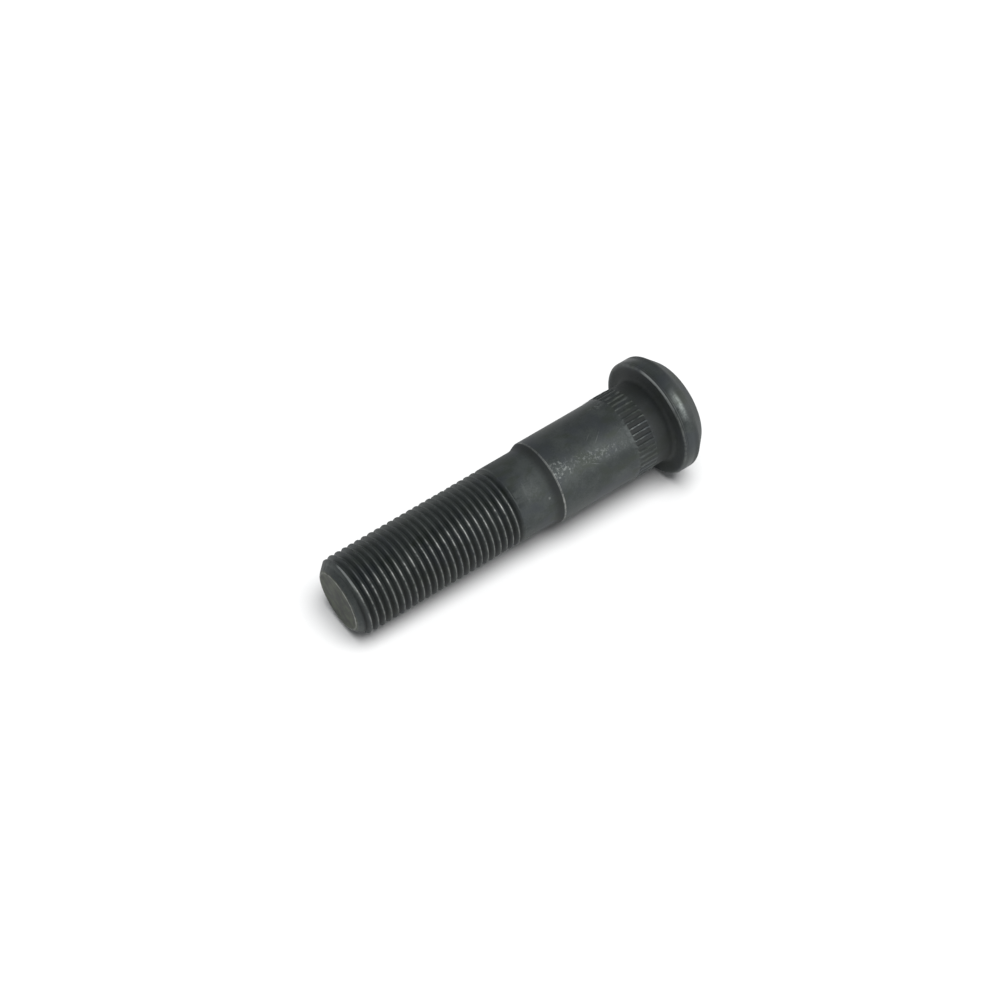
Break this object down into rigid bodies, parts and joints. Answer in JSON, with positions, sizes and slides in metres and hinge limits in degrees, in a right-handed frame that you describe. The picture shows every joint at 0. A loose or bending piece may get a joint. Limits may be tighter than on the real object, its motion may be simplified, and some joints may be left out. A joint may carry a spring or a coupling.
{
  "type": "wheel bolt",
  "caption": "Press-in wheel bolt in dark phosphated steel: round head with serrated band below it, plain shank, stepped neck and long metric thread with a chamfered tip.",
  "frame": {"origin": "centre of the head's flat back face, on which the bolt stands", "axes": "+Z along the bolt's axis from the head to the tip of the thread"},
  "size_m": [0.0338, 0.0338, 0.1085],
  "materials": {
    "phosphated_steel": "dark grey phosphate coating, worn bright on crests and edges"
  },
  "bodies": {
    "root": {"wheel_bolt": "phosphated_steel"}
  },
  "joints": []
}
